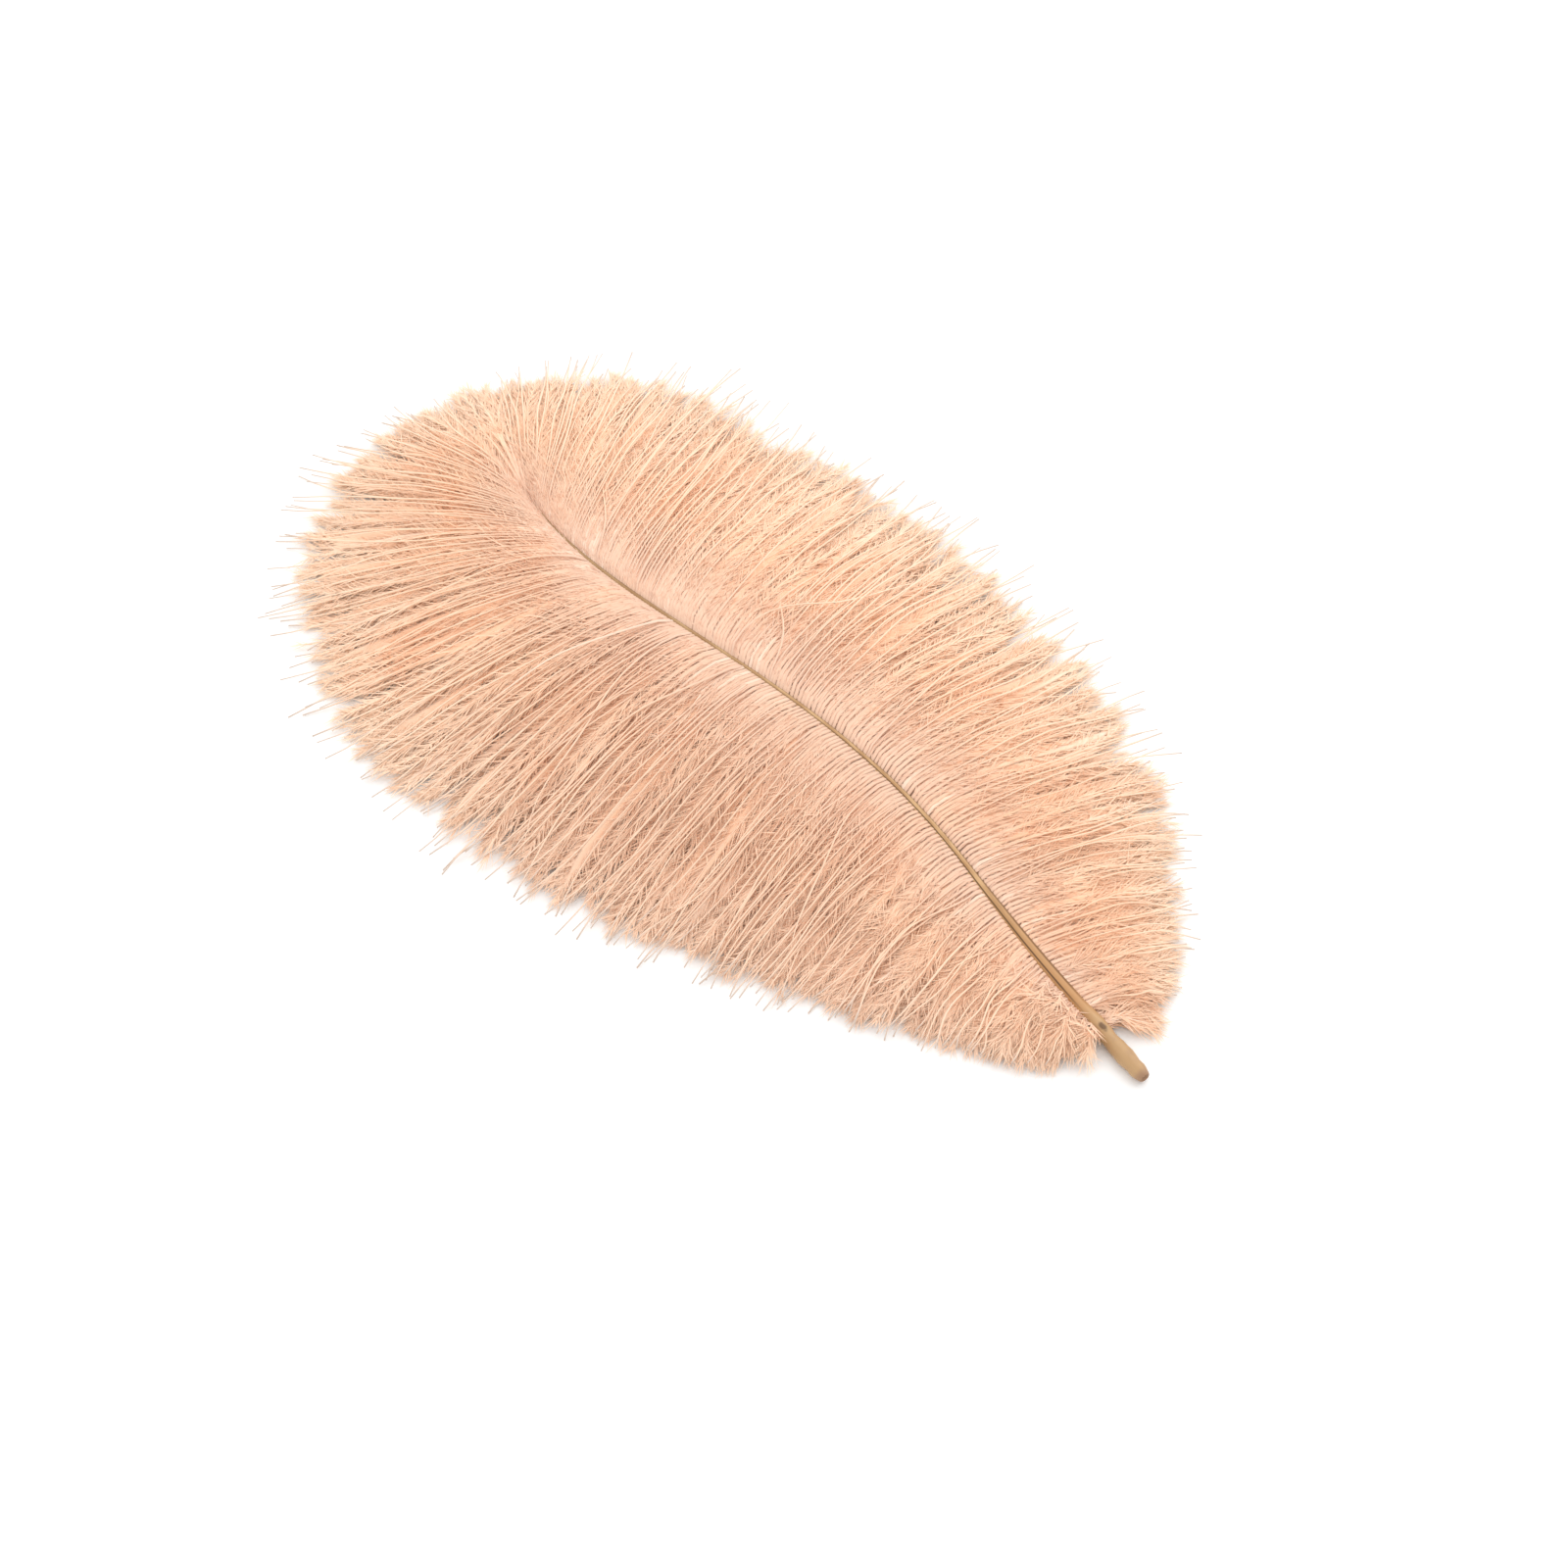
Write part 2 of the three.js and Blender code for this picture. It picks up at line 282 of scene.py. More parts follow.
# Barbs. Each kind has its own numbers, with lengths in metres and turns in degrees. Three numbers in
# brackets, but for halfWidth, are what holds for all and the most that clumps and single barbs differ from it
barb = {
    "steps": 16,
    "sides": 6,  # each end is closed as a hexagon
    "taper": 0.62,  # share of its length at which a barb starts to narrow
    "girth": (0.85, 1.15),  # thinnest and thickest, in shares of the width
    "pace": (0.6, 2.2),  # waves in the length of a barb
    "tint": (0.5, 0.28, 0.4),
    "crowding": 1.2,  # above 1 they grow closer together towards the vane's tip
    "clumpWidth": 0.034,  # share of the vane's length that one clump of barbs takes, about
    "baseLift": 0.4,  # how high up the shaft they grow at the vane's base, in shares of its middle's
    "tipLift": 0.5,  # the same towards the vane's tip
    "hook": 26,  # degrees by which a barb leans on towards the tip where it leaves the shaft
    "unruly": 1.6,  # how much more they stray from each other at the base of the vane
    "calmer": 0.5,  # how much less they stray towards its tip
    "matted": 2.4,  # how many times as much the left vane's clumps draw together
    "combed": 0.7,  # share of the drawing together that is missing towards the vane's tip
    "parting": 0.8,  # share of it that is undone at the barbs' own tips
    "sway": 0.5 * mm,  # how far a barb waves to the sides
    "heave": 0.22 * mm,  # and up and down
    "floor": 0.15 * mm,  # the least height of a barb above the surface; a barbule's is half of it
    "top": {
        "perSide": 215,
        "pull": (0.2, 0.14, 0.1),  # how far clumps draw together
        "share": (0.95, 0.045, 0.06),  # length in lengths of the outline
        "turn": (0.0, 1.5, 1.3),
        "tipTurn": 7,  # how much further single tips stray
        "clearance": (1.25 * mm, 0.45 * mm, 0.15 * mm),  # of the tips off the surface
        "puff": (1.55 * mm, 0.25 * mm, 0.1 * mm),  # how far the middle swells above a plain droop
        "drop": 0,  # how much lower than the others it starts
        "rootLift": 0.84,  # how far up the shaft its upper side grows, in radii
        "halfWidth": (0.42 * mm, 0.3 * mm, 0.05 * mm),  # at the shaft, in the middle and at the tip
        "halfThickness": 0.14 * mm,
        "fluff": 1.0,  # how many barbules it has and how wide they are, compared with other kinds
        "depth": 0.1,  # how much painted shade it takes for lying low in the vane, but for its outer end
    },
    "low": {  # wider barbs that close the vane from beneath
        "perSide": 170,
        "pull": (0.03, 0.04, 0.06),
        "share": (0.945, 0.035, 0.045),
        "turn": (0.0, 0.3, 1.1),
        "tipTurn": 3,
        "clearance": (0.85 * mm, 0.2 * mm, 0.15 * mm),
        "puff": (1.45 * mm, 0.15 * mm, 0.1 * mm),
        "drop": 0.35 * mm,
        "rootLift": 0.52,
        "halfWidth": (0.8 * mm, 1.05 * mm, 0.08 * mm),
        "halfThickness": 0.26 * mm,
        "taper": 0.83,
        "fluff": 1.5,
        # the low barbs take the most painted shade, as if shaded by the top ones
        "depth": 0.4,
    },
    "down": {  # the shorter, untidy barbs where the vane begins
        "perSide": 34,
        "stretch": (-0.03, 0.06),  # shares of the vane's length between which they grow
        "pull": (0.0, 0.1, 0.1),
        "share": (0.7, 0.08, 0.16),
        "turn": (-3.0, 4.0, 8.0),
        "tipTurn": 20,
        "clearance": (1.2 * mm, 0.6 * mm, 0.6 * mm),
        "puff": (1.0 * mm, 0.6 * mm, 0.8 * mm),
        "drop": 0,
        "rootLift": 0.6,
        "halfWidth": (0.19 * mm, 0.15 * mm, 0.04 * mm),
        "halfThickness": 0.14 * mm,
        "fluff": 1.2,
        "depth": 0.0,
    },
    "stray": {  # single barbs that lie across the others
        "perSide": 5,
        "stretch": (0.2, 0.85),
        "pull": (0.0, 0.0, 0.0),
        "share": (0.85, 0.0, 0.12),
        "turn": (0.0, 0.0, 26.0),
        "tipTurn": 8,
        "clearance": (3.2 * mm, 0.0, 0.9 * mm),
        "puff": (3.4 * mm, 0.0, 0.9 * mm),
        "drop": 0,
        "rootLift": 0.85,
        "halfWidth": (0.25 * mm, 0.19 * mm, 0.05 * mm),
        "halfThickness": 0.2 * mm,
        "depth": 0.0,
    },
    "wisp": {  # longer and thinner barbs, bare enough to show singly past the others
        "perSide": 185,
        "pull": (0.1, 0.2, 0.3),
        "share": (1.08, 0.03, 0.07),
        "turn": (0.0, 1.0, 1.2),
        "tipTurn": 4,
        "clearance": (1.8 * mm, 0.5 * mm, 1.4 * mm),
        "puff": (1.6 * mm, 0.5 * mm, 0.5 * mm),
        "drop": 0,
        "rootLift": 0.7,
        "halfWidth": (0.2 * mm, 0.17 * mm, 0.13 * mm),
        "halfThickness": 0.15 * mm,
        "depth": 0.0,
        "dulling": 0.04,  # scales their tints down to those that have dull ends
    },
    "fan": {  # the barbs round the shaft's end
        "perSide": 20,
        "stretch": (0.97, 1),
        "pull": (0.1, 0.1, 0.1),
        "share": (1.0, 0.04, 0.06),
        "turn": (0.0, 0.0, 1.5),
        "tipTurn": 9,
        "clearance": (1.2 * mm, 0.6 * mm, 0.6 * mm),
        "puff": (1.4 * mm, 0.5 * mm, 0.5 * mm),
        "drop": 0,
        "rootLift": 0.3,
        "forward": (-3, 14),  # degrees between which they point, from the shaft's own direction
        "halfWidth": (0.32 * mm, 0.3 * mm, 0.05 * mm),
        "halfThickness": 0.22 * mm,
        "fluff": 1.0,
        "depth": 0.1,
    },
}


def clumpsOf(u):
    # The clump of each barb: its number, and the middle of the stretch of shaft that it grows from
    edges = [0.0]
    while edges[-1] <= 1:
        edges.append(edges[-1] + barb["clumpWidth"] * rng.uniform(0.5, 1.6))
    edges = np.array(edges)
    number = np.maximum(np.searchsorted(edges, u, side="right") - 1, 0)
    return number, (edges[number] + edges[number + 1]) / 2


def layBarbs(kind, side, u):
    # One layer of barbs of a kind that leave the shaft at u, as arrays with a value for each barb
    way = barb[kind]
    clump, middle = clumpsOf(u)
    count = len(u)
    nearTip = smooth((u - 0.6) / 0.3)
    matted = barb["matted"] if side > 0 else 1

    def spread(trio):
        byClump = rng.uniform(-1, 1, clump.max() + 1)[clump]
        return trio[0] + trio[1] * byClump + trio[2] * rng.uniform(-1, 1, count)

    return {
        "kind": kind,
        "side": side,
        "u": u,
        "middle": middle,
        "pull": spread(way["pull"]) * matted * (1 - barb["combed"] * nearTip),
        "share": spread(way["share"]),
        "aim": np.zeros(count),
        "turn": spread(way["turn"]) * (1 + barb["unruly"] * smooth(1 - u / 0.2) - barb["calmer"] * nearTip),
        "tipTurn": way["tipTurn"] * rng.normal(0, 0.6, count),
        "clearance": spread(way["clearance"]),
        "puff": spread(way["puff"]),
        "girth": rng.uniform(*barb["girth"], (count, 1, 1, 1)),
        "phase": rng.uniform(0, 2 * np.pi, (count, 4)),
        "pace": rng.uniform(*barb["pace"], (count, 2)),
        "tint": np.clip(spread(barb["tint"]), 0.1, 1),
    }


def barbLines(layer, t):
    # Points along every barb of a layer, at the shares t of its length: (barbs, shares, 3)
    way = barb[layer["kind"]]

    def column(key):
        return layer[key][:, None]

    t = np.broadcast_to(t, (len(layer["u"]), len(t)))
    drawn = column("pull") * smooth((t - 0.08) / 0.5) * (1 - barb["parting"] * smooth((t - 0.6) / 0.4))
    u = np.clip(mix(column("u"), column("middle"), drawn), column("u").min(), 1)
    turn = column("aim") + column("turn") * smooth(t * 2) + column("tipTurn") * t ** 3
    turn = turn - barb["hook"] * np.exp(-t / 0.1) * smooth((1 - column("u")) / 0.15)
    points = barbPoint(u, layer["side"], t, column("share"), turn, column("clearance"), column("puff"))
    phase = layer["phase"]
    loose = smooth(t * 1.6)
    sway = np.sin(2 * np.pi * layer["pace"][:, :1] * t + phase[:, :1]) * loose
    heave = np.sin(2 * np.pi * layer["pace"][:, 1:] * t + phase[:, 1:2]) * loose
    points[..., 0] += barb["sway"] * sway
    points[..., 2] += barb["heave"] * heave - way["drop"] * np.cos(np.pi / 2 * t)
    rootRadius = shaftRadius(mix(halfCalamus + vane["start"], shaft["end"], column("u")))
    lift = mix(barb["baseLift"], 1, smooth(column("u") / 0.25))
    lift = mix(lift, barb["tipLift"], smooth((column("u") - 0.55) / 0.35)) * way["rootLift"]
    rootHeight = lift * rootRadius - way["halfThickness"]
    points[..., 2] += rootHeight * (1 - smooth(t / 0.16))
    points[..., 2] = np.maximum(points[..., 2], barb["floor"] + 0.2 * mm)
    return points


def framesAlong(points):
    # Directions at every point of every line: along it, sideways and away from the vane's face
    along = np.gradient(points, axis=1)
    along /= np.linalg.norm(along, axis=-1, keepdims=True)
    sideways = np.cross(along, (0.0, 0.0, 1.0))
    sideways /= np.linalg.norm(sideways, axis=-1, keepdims=True)
    return along, sideways, np.cross(sideways, along)


def barbHalfWidth(kind, t):
    atShaft, inMiddle, atTip = barb[kind]["halfWidth"]
    taper = barb[kind].get("taper", barb["taper"])
    return mix(mix(atShaft, inMiddle, smooth(t / 0.3)), atTip, smooth((t - taper) / (0.98 - taper)))


def barbTubes(layer):
    # Closed tubes round a layer's lines: their points, a grid of the points' numbers, and their strand data
    way = barb[layer["kind"]]
    count, rings, sides = len(layer["u"]), barb["steps"] + 1, barb["sides"]
    t = np.linspace(0, 1, rings)
    points = barbLines(layer, t)
    along, sideways, outward = framesAlong(points)
    roll = 0.5 * np.sin(5 * t + layer["phase"][:, 2:3]) * smooth(t * 2)
    flatWay = sideways * np.cos(roll)[..., None] + outward * np.sin(roll)[..., None]
    thinWay = outward * np.cos(roll)[..., None] - sideways * np.sin(roll)[..., None]
    halfWidth = barbHalfWidth(layer["kind"], t)[None, :, None, None] * layer["girth"]
    halfThickness = np.minimum(halfWidth * 0.8, way["halfThickness"])
    angle = (np.arange(sides) * 2 * np.pi / sides)[:, None]
    ring = (
        points[:, :, None]
        + flatWay[:, :, None] * np.cos(angle) * halfWidth
        + thinWay[:, :, None] * np.sin(angle) * halfThickness
    )
    ring[..., 2] = np.maximum(ring[..., 2], barb["floor"])
    strand = np.zeros((count, rings, sides, 3))
    strand[..., 0] = t[None, :, None]
    strand[..., 1] = layer["tint"][:, None, None]
    # its share of painted shade, for lying low in the vane
    strand[..., 2] = way["depth"]
    grid = np.arange(count * rings * sides).reshape(count, rings, sides)
    return ring.reshape(-1, 3), grid, strand.reshape(-1, 3)


def barbPiece(name, layers, material):
    # All the barbs of one vane as one mesh; in its bake map each barb is a row
    points, faces, strands, places = [], [], [], []
    rings, sides = barb["steps"] + 1, barb["sides"]
    rows = sum(len(layer["u"]) for layer in layers)
    row, first = 0, 0
    wallShare, capPlace, capShare = 0.85, 0.88, 0.08  # of the height of a row
    for layer in layers:
        ring, grid, strand = barbTubes(layer)
        count = len(grid)
        beside = np.roll(grid, -1, 2)
        walls = np.stack([grid[:, :-1], beside[:, :-1], beside[:, 1:], grid[:, 1:]], -1).reshape(-1, 4)
        number, step, around = np.unravel_index(np.arange(len(walls)), (count, rings - 1, sides))
        left, right = step / rings, (step + 1) / rings
        lower = (row + number + around / sides * wallShare) / rows
        upper = (row + number + (around + 1) / sides * wallShare) / rows
        wallPlaces = np.stack([left, lower, left, upper, right, upper, right, lower], -1).reshape(-1, 4, 2)
        faces.append(walls + first)
        places.append(wallPlaces)
        for end, order in ((0, (0, 3, 2, 1)), (0, (0, 5, 4, 3)), (-1, (0, 1, 2, 3)), (-1, (0, 3, 4, 5))):
            faces.append(grid[:, end][:, order] + first)
            at = np.full(count, 0.0 if end == 0 else (rings - 1) / rings)
            lower = (row + np.arange(count) + capPlace) / rows
            upper = lower + capShare / rows
            right = at + 0.5 / rings
            places.append(np.stack([at, lower, right, lower, right, upper, at, upper], -1).reshape(-1, 4, 2))
        points.append(ring)
        strands.append(strand)
        first += len(ring)
        row += count
    arrays = [np.concatenate(part) for part in (points, faces, strands, places)]
    return joinedMesh(name, *arrays, material, True)


# Barbules, the fine down along the barbs
barbule = {
    "perPiece": 46200,
    "length": 4.8 * mm,
    "radius": 0.13 * mm,
    "lean": 21,  # degrees off the barb
    "leanSpread": 13,
    "leanWave": 6,  # degrees by which the lean comes and goes along a barb
    "flare": 30,  # degrees that they spread out of the vane's own plane
    "roll": 25,
    "crowding": 1.1,  # above 1 they are denser outwards
    "nearShaft": 0.35,  # length close to the shaft, as a share of the full one; they lean less there too
    "atTip": 0.7,  # the same at a barb's tip
    "lengths": (0.55, 1.3),  # shortest and longest, in shares of the length
    "widths": (0.7, 1.25),
    "lineSteps": 120,  # points along each barb that they are placed by
    "inner": (0.02, 0.6),  # shares of a barb's length between which the inner down grows
    "outer": (0.45, 1.0),
}


def barbulePiece(name, layers, span, material):
    # Closed spikes that leave the barbs between the shares span of their length, as one mesh
    count = barbule["perPiece"]
    steps = barbule["lineSteps"]
    lines = [barbLines(layer, np.linspace(0, 1, steps)) for layer in layers]
    kinds = np.concatenate([np.full(len(line), i) for i, line in enumerate(lines)])
    tint = np.concatenate([layer["tint"] for layer in layers])
    phase = np.concatenate([layer["phase"] for layer in layers])
    lines = np.concatenate(lines)
    along, sideways, outward = framesAlong(lines)
    fluff = np.concatenate([np.full(len(layer["u"]), barb[layer["kind"]]["fluff"]) for layer in layers])
    weights = np.linalg.norm(np.diff(lines, axis=1), axis=-1).sum(1) * fluff
    which = rng.choice(len(lines), count, p=weights / weights.sum())
    t = mix(span[0], span[1], 1 - (1 - rng.random(count)) ** barbule["crowding"])
    step = np.minimum((t * (steps - 1)).astype(int), steps - 2)
    part = (t * (steps - 1) - step)[:, None]
    root = mix(lines[which, step], lines[which, step + 1], part)
    forward, side, face = (axis[which, step] for axis in (along, sideways, outward))
    halfWidth = np.zeros(count)
    depth = np.zeros(count)
    for i, layer in enumerate(layers):
        here = kinds[which] == i
        halfWidth[here] = barbHalfWidth(layer["kind"], t[here])
        # barbules take half of their barb's painted shade
        depth[here] = barb[layer["kind"]]["depth"] * 0.5
    size = mix(barbule["nearShaft"], 1, smooth(t / 0.3)) * mix(1, barbule["atTip"], smooth((t - 0.75) / 0.25))
    lean = barbule["lean"] + barbule["leanWave"] * np.sin(11 * t + phase[which, 3])
    lean = np.radians((lean + barbule["leanSpread"] * rng.normal(0, 1, count)) * mix(0.7, 1, size))
    hand = rng.choice([-1.0, 1.0], count)
    flare = np.radians(barbule["flare"]) * rng.normal(0.25, 0.7, count)
    away = side * (hand * np.cos(flare))[:, None] + face * np.sin(flare)[:, None]
    aim = forward * np.cos(lean)[:, None] + away * np.sin(lean)[:, None]
    reach = barbule["length"] * size * rng.uniform(*barbule["lengths"], count)
    root = root + side * (hand * halfWidth * rng.uniform(0.1, 0.8, count))[:, None]
    tip = root + aim * reach[:, None]
    tip[:, 2] = np.maximum(tip[:, 2], barb["floor"] + rng.uniform(0, 0.4 * mm, count))
    across = np.cross(aim, face)
    across /= np.linalg.norm(across, axis=-1, keepdims=True)
    over = np.cross(across, aim)
    radius = barbule["radius"] * mix(0.8, 1, size) * rng.uniform(*barbule["widths"], count) * fluff[which]
    roll = np.radians(barbule["roll"]) * rng.normal(0, 1, count)[:, None]
    wide = (across * np.cos(roll) + over * np.sin(roll)) * radius[:, None]
    thin = (over * np.cos(roll) - across * np.sin(roll)) * radius[:, None]
    points = np.stack([root - wide, root + wide, root - thin * 0.6, tip], 1)
    points[..., 2] = np.maximum(points[..., 2], barb["floor"] * 0.5)
    first = np.arange(count)[:, None] * 4
    order = ((0, 1, 3), (1, 2, 3), (2, 0, 3), (0, 2, 1))
    faces = np.concatenate([first + np.array(corner) for corner in order], 1).reshape(-1, 3)
    strand = np.zeros((count, 4, 3))
    strand[..., 0] = t[:, None]
    strand[:, 3, 0] = np.minimum(t + 0.08, 1)
    strand[..., 1] = np.clip(tint[which] * 0.6 + 0.4 * rng.random(count), 0, 1)[:, None]
    strand[..., 2] = depth[:, None]
    columns = math.ceil(math.sqrt(count))
    cell = np.stack(np.divmod(np.arange(count), columns), -1)[:, None, None, :]
    within = np.array([
        [(0.1, 0.1), (0.4, 0.1), (0.25, 0.9)],
        [(0.4, 0.1), (0.7, 0.1), (0.25, 0.9)],
        [(0.7, 0.1), (0.9, 0.3), (0.25, 0.9)],
        [(0.8, 0.5), (0.9, 0.5), (0.85, 0.6)],
    ])
    places = (cell + within) / columns
    return joinedMesh(name, points.reshape(-1, 3), faces, strand.reshape(-1, 3), places, material, False)


def evenly(count, low, high):
    # Places from low to high at a slightly uneven spacing
    return mix(low, high, (np.arange(count) + 0.5 + rng.uniform(-0.15, 0.15, count)) / count)


def towardsTip(count):
    # Places along the whole vane, closer together towards its tip, where the barbs fan out
    return 1 - (1 - evenly(count, 0, 1)) ** barb["crowding"]


def makeVanes():
    stripFinish = peachFinish("barbPeach", True)
    tuftFinish = peachFinish("barbulePeach", False)
    pieces = []
    for side, hand in ((1, "left"), (-1, "right")):
        top, low = (layBarbs(kind, side, towardsTip(barb[kind]["perSide"])) for kind in ("top", "low"))
        down = layBarbs("down", side, evenly(barb["down"]["perSide"], *barb["down"]["stretch"]))
        stray = layBarbs("stray", side, rng.uniform(*barb["stray"]["stretch"], barb["stray"]["perSide"]))
        wisp = layBarbs("wisp", side, towardsTip(barb["wisp"]["perSide"]))
        wisp["tint"] *= barb["wisp"]["dulling"]
        fan = layBarbs("fan", side, evenly(barb["fan"]["perSide"], *barb["fan"]["stretch"]))
        fan["aim"] = rng.uniform(*barb["fan"]["forward"], len(fan["u"])) - barbHeading(fan["u"])
        pieces.append(barbPiece(hand + "_barbs", [top, low, down, stray, wisp, fan], stripFinish))
        pieces.append(barbulePiece(hand + "_inner_down", [top, low, down], barbule["inner"], tuftFinish))
        pieces.append(barbulePiece(hand + "_outer_down", [top, low, down, fan], barbule["outer"], tuftFinish))
        print(hand + " vane laid")
    return pieces


quill = {
    "sides": 16,
    "ringStep": 3.5 * mm,
    "calamusStep": 1.1 * mm,
    "endRings": (0.15 * mm, 0.45 * mm, 0.9 * mm, 1.4 * mm, 2.0 * mm),  # from the cut end
    "overrun": 2 * mm,  # the least that its rings run past the shaft's end
    "rounding": 2 * mm,  # of the cut end
    "knobs": 0.07,  # share of the radius by which the calamus swells and shrinks
    "rim": 0.45 * mm,
    "recess": 0.5 * mm,
    "coreRim": 0.25 * mm,  # from the recess's edge to its core
    "coreRise": 0.2 * mm,  # how far the core stands out of the recess's floor
    "smoothUnder": 50,  # degrees between faces that are shaded as one
    "groove": 0.28,  # share of the radius by which the sides are hollowed where the barbs grow
}
quillFinish = {
    "shaft": (0.42, 0.22, 0.085),
    "light": (0.62, 0.38, 0.18),
    # dark: for the small opening and the darker far end of the shaft, and as painted shade down both edges of
    # the shaft
    "dark": (0.13, 0.06, 0.02),
    "rightEdgeShadeShare": 0.75,  # of the painted shade down the right edge, where the barbs meet the shaft
    "spotShare": 0.9,
    "farShare": 0.45,  # of the dark towards the shaft's end
    "amber": (0.47, 0.22, 0.075),  # a stain among the first barbs
    "amberShare": 0.7,
    "horn": (0.50, 0.31, 0.15),  # on the bare calamus
    "hornShare": 0.8,
    "end": (0.34, 0.19, 0.11),  # at the cut end, and in blotches on the calamus
    "blotchShare": 0.4,
    "wornShare": 0.85,
    "spot": 4.4 * mm,  # where along the quill the small dark opening lies
    "roughness": 0.42,
    "specular": 0.4,
    "streakBump": 0.25,
}


def ringRadius(x):
    fromEnd = min(1.0, max(0.0, (x + halfCalamus) / quill["rounding"]))
    wave = math.sin(x / (1.1 * mm) + 2.6) + 0.6 * math.sin(x / (0.47 * mm))
    knob = quill["knobs"] * wave * float(smooth(2 - x / halfCalamus))
    return float(shaftRadius(np.array(x))) * (0.55 + 0.45 * math.sqrt(fromEnd)) * (0.97 + knob)


def makeQuill():
    bpy.ops.object.select_all(action="DESELECT")
    start = -halfCalamus
    centre = shaftPoint(np.array(start))
    bpy.ops.mesh.primitive_circle_add(
        vertices=quill["sides"],
        radius=ringRadius(start),
        fill_type="NGON",
        location=tuple(centre),
        rotation=(0, math.pi / 2, 0),
    )
    piece = bpy.context.object
    piece.name = "quill"
    bpy.ops.object.transform_apply(location=True, rotation=True, scale=True)
    bpy.ops.object.mode_set(mode="EDIT")
    bpy.ops.mesh.select_all(action="SELECT")
    stops = [start + distance for distance in quill["endRings"]]
    while stops[-1] < shaft["end"] + quill["overrun"]:
        stops.append(stops[-1] + quill["calamusStep" if stops[-1] < halfCalamus else "ringStep"])
    radius = ringRadius(start)
    for x in stops:
        ahead = shaftPoint(np.array(x))
        step = ahead - centre
        bpy.ops.mesh.extrude_region_move(TRANSFORM_OT_translate={"value": tuple(step)})
        centre = ahead
        grown = ringRadius(x)
        size = grown / radius
        bpy.ops.transform.resize(value=(1, size, size), center_override=tuple(centre))
        radius = grown
    bpy.ops.object.mode_set(mode="OBJECT")
    shapeGrooves(piece)
    shapeCutEnd(piece)
    place = np.zeros(len(piece.data.vertices) * 3)
    piece.data.vertices.foreach_get("co", place)
    place = place.reshape(-1, 3)
    middle = shaftPoint(place[:, 0])
    angle = np.arctan2(place[:, 2] - middle[:, 2], place[:, 1] - middle[:, 1])
    around = piece.data.attributes.new("around", "FLOAT_COLOR", "POINT")
    up, left = np.sin(angle) * 0.5 + 0.5, np.cos(angle) * 0.5 + 0.5
    colours = np.stack([up, left, np.zeros_like(angle), np.ones_like(angle)], -1)
    around.data.foreach_set("color", colours.astype(np.float32).ravel())
    bpy.ops.object.select_all(action="DESELECT")
    piece.select_set(True)
    bpy.context.view_layer.objects.active = piece
    bpy.ops.object.shade_smooth_by_angle(angle=math.radians(quill["smoothUnder"]))
    piece.data.materials.clear()
    piece.data.materials.append(hornFinish())
    print("quill made")
    return piece


def shapeGrooves(piece):
    # Hollows the sides where the barbs grow, and keeps the underside from going below the surface
    form = bmesh.new()
    form.from_mesh(piece.data)
    for point in form.verts:
        x = point.co.x
        vaneShare = float(smooth((x - halfCalamus) / (6 * mm)))
        centre = shaftPoint(np.array(x))
        radius = ringRadius(x)
        sideways = abs(point.co.y - centre[1]) / max(radius, 1e-6)
        level = abs(point.co.z - centre[2]) / max(radius, 1e-6)
        if level < 0.3:
            point.co.y = centre[1] + (point.co.y - centre[1]) * (1 - quill["groove"] * vaneShare * sideways)
        point.co.z = max(point.co.z, 0.0)
    form.normal_update()
    form.to_mesh(piece.data)
    form.free()


def shapeCutEnd(piece):
    bpy.ops.object.mode_set(mode="EDIT")
    bpy.ops.mesh.select_all(action="DESELECT")
    bpy.ops.object.mode_set(mode="OBJECT")
    for face in piece.data.polygons:
        face.select = len(face.vertices) > 4 and face.center.x < -halfCalamus + 0.1 * mm
    bpy.ops.object.mode_set(mode="EDIT")
    bpy.ops.mesh.inset(thickness=quill["rim"], depth=0)
    bpy.ops.transform.translate(value=(quill["recess"], 0, 0))
    bpy.ops.mesh.inset(thickness=quill["coreRim"], depth=0)
    bpy.ops.transform.translate(value=(-quill["coreRise"], 0, 0))
    bpy.ops.mesh.select_all(action="SELECT")
    bpy.ops.mesh.normals_make_consistent(inside=False)
    bpy.ops.object.mode_set(mode="OBJECT")


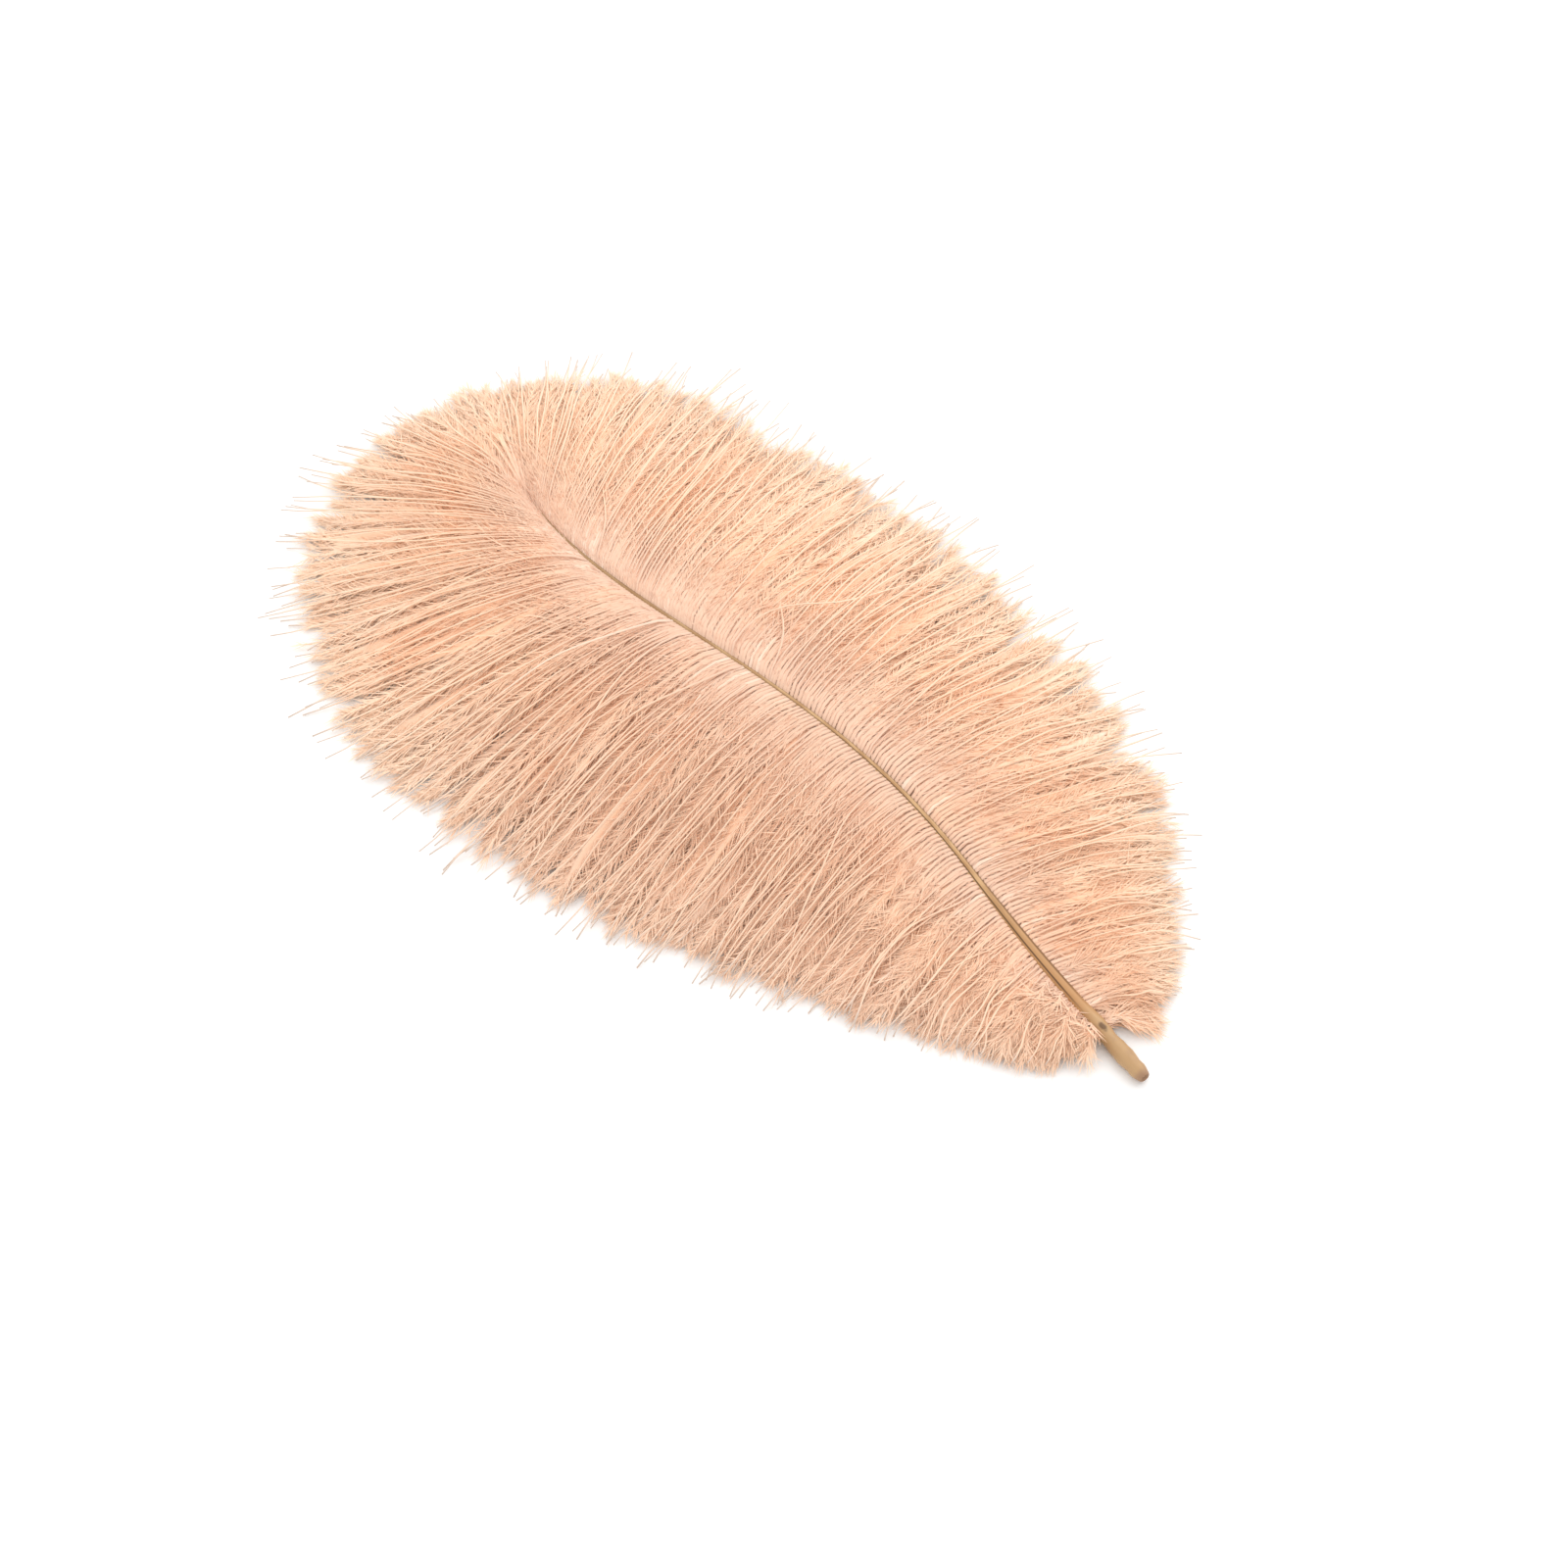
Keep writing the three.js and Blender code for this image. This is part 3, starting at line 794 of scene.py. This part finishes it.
def hornFinish():
    look = quillFinish
    shader = Shader("quillHorn")
    place = shader.node("ShaderNodeTexCoord", {}, {}, "Object")
    along, sideways = shader.parts("ShaderNodeSeparateXYZ", place)[:2]
    around = shader.node("ShaderNodeAttribute", {"attribute_name": "around"}, {})
    up, left = shader.parts("ShaderNodeSeparateColor", around)[:2]
    streaks = shader.noise(place, 900.0, 3.0, (0.06, 1, 1))
    colour = shader.blend(shader.clamped(streaks, 0.35, 0.7), look["shaft"], look["light"])
    bare = 1 - shader.clamped(along, 3 * mm, 12 * mm)
    colour = shader.blend(bare * look["hornShare"], colour, look["horn"])
    vaned = shader.clamped(along, 7 * mm, 16 * mm)
    stain = shader.clamped(along, 5 * mm, 12 * mm) * (1 - shader.clamped(along, 18 * mm, 45 * mm))
    stained = stain * shader.clamped(streaks, 0.3, 0.6)
    colour = shader.blend(stained * look["amberShare"], colour, look["amber"])
    fading = 1 - shader.clamped(along, 60 * mm, 130 * mm)
    # painted shade: a dark line down the left side of the shaft, where the barbs meet it, fading out towards
    # the shaft's end
    lowered = left + shader.clamped(along, 20 * mm, 60 * mm) * 0.06
    line = shader.clamped(lowered, 0.69, 0.73) * (1 - shader.clamped(lowered, 0.78, 0.82))
    colour = shader.blend(line * vaned * fading, colour, look["dark"])
    # painted shade down the right edge of the shaft
    rightEdgeShade = 1 - shader.clamped(left, 0.26, 0.36)
    colour = shader.blend(rightEdgeShade * vaned * look["rightEdgeShadeShare"], colour, look["dark"])
    ragged = shader.noise(place, 1500.0) - 0.5
    lengthwise = (along - look["spot"]) * 0.55
    fromSpot = (lengthwise * lengthwise + sideways * sideways) ** 0.5 + ragged * 0.5 * mm
    spot = (1 - shader.clamped(fromSpot, 0.25 * mm, 0.75 * mm)) * shader.clamped(up, 0.6, 0.8)
    colour = shader.blend(spot * look["spotShare"], colour, look["dark"])
    blotches = shader.clamped(shader.noise(place, 420.0, 3.0), 0.45, 0.75)
    colour = shader.blend(blotches * bare * look["blotchShare"], colour, look["end"])
    worn = 1 - shader.clamped(along, -halfCalamus + 0.2 * mm, -halfCalamus + 1.6 * mm)
    colour = shader.blend(worn * look["wornShare"], colour, look["end"])
    far = shader.clamped(along, 60 * mm, 150 * mm)
    colour = shader.blend(far * look["farShare"], colour, look["dark"])
    shader.set(Base_Color=colour, Roughness=look["roughness"], Specular_IOR_Level=look["specular"])
    shader.set(Normal=shader.bump(streaks, look["streakBump"], 0.1 * mm))
    return shader.material


# The camera, the floor and the light

camera = {
    "azimuth": 235,
    "elevation": 52,
    "distance": 552 * mm,
    "target": (80 * mm, 13 * mm, 0.0),
    "lens": 70,  # millimetres, as the sensor's width is
    "sensor": 36,
    "clipStart": 0.01,
}
studio = {
    "floor": (0.93, 0.93, 0.925),
    "floorSize": 8,
    "floorMiddle": (0.08, 0.01, 0),
    "floorGrain": 0.03,
    "floorRoughness": 0.9,
    "sky": 0.96,
    "key": 8.6,
    "keyPlace": (0.35, -0.75, 0.9),
    "fill": 2.0,
    "fillPlace": (0.3, 0.65, 0.8),
    "lampSize": 1.5,
    "aim": (0.09, 0.01, 0.0),
}


def setCamera():
    turn, rise = math.radians(camera["azimuth"]), math.radians(camera["elevation"])
    back = np.array([math.sin(turn) * math.cos(rise), -math.cos(turn) * math.cos(rise), math.sin(rise)])
    lens = bpy.data.cameras.new("camera")
    lens.lens = camera["lens"]
    lens.sensor_width = camera["sensor"]
    lens.clip_start = camera["clipStart"]
    view = bpy.data.objects.new("camera", lens)
    bpy.context.scene.collection.objects.link(view)
    view.location = np.array(camera["target"]) + back * camera["distance"]
    view.rotation_euler = (math.pi / 2 - rise, 0, turn)
    bpy.context.scene.camera = view


def setFloor():
    bpy.ops.object.select_all(action="DESELECT")
    bpy.ops.mesh.primitive_plane_add(size=studio["floorSize"], location=studio["floorMiddle"])
    floor = bpy.context.object
    floor.name = "floor"
    shader = Shader("floorPaper")
    place = shader.node("ShaderNodeTexCoord", {}, {}, "Object")
    grain = shader.noise(place, 400.0)
    colour = shader.blend(grain * studio["floorGrain"], studio["floor"], (1, 1, 1))
    shader.set(Base_Color=colour, Roughness=studio["floorRoughness"])
    floor.data.materials.append(shader.material)


def addLamp(name):
    lamp = bpy.data.lights.new(name, "AREA")
    lamp.size = studio["lampSize"]
    lamp.energy = studio[name]
    holder = bpy.data.objects.new(name, lamp)
    bpy.context.scene.collection.objects.link(holder)
    holder.location = studio[name + "Place"]
    toward = np.array(studio["aim"]) - np.array(studio[name + "Place"])
    level = math.hypot(toward[0], toward[1])
    holder.rotation_euler = (math.atan2(level, -toward[2]), 0, math.atan2(-toward[0], toward[1]))


def setLight():
    world = bpy.data.worlds.new("studio")
    bpy.context.scene.world = world
    world.use_nodes = True
    world.node_tree.nodes["Background"].inputs["Color"].default_value = (1, 1, 1, 1)
    world.node_tree.nodes["Background"].inputs["Strength"].default_value = studio["sky"]
    addLamp("key")
    addLamp("fill")
    bpy.context.scene.view_settings.view_transform = "Standard"


setCamera()
setFloor()
setLight()
quillPiece = makeQuill()
vanes = makeVanes()
for piece in [quillPiece, *vanes]:
    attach(piece, "root")
    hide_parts("ostrich_feather")

triangles = 0
for piece in [quillPiece, *vanes]:
    piece.data.calc_loop_triangles()
    triangles += len(piece.data.loop_triangles)
print("triangles", triangles)
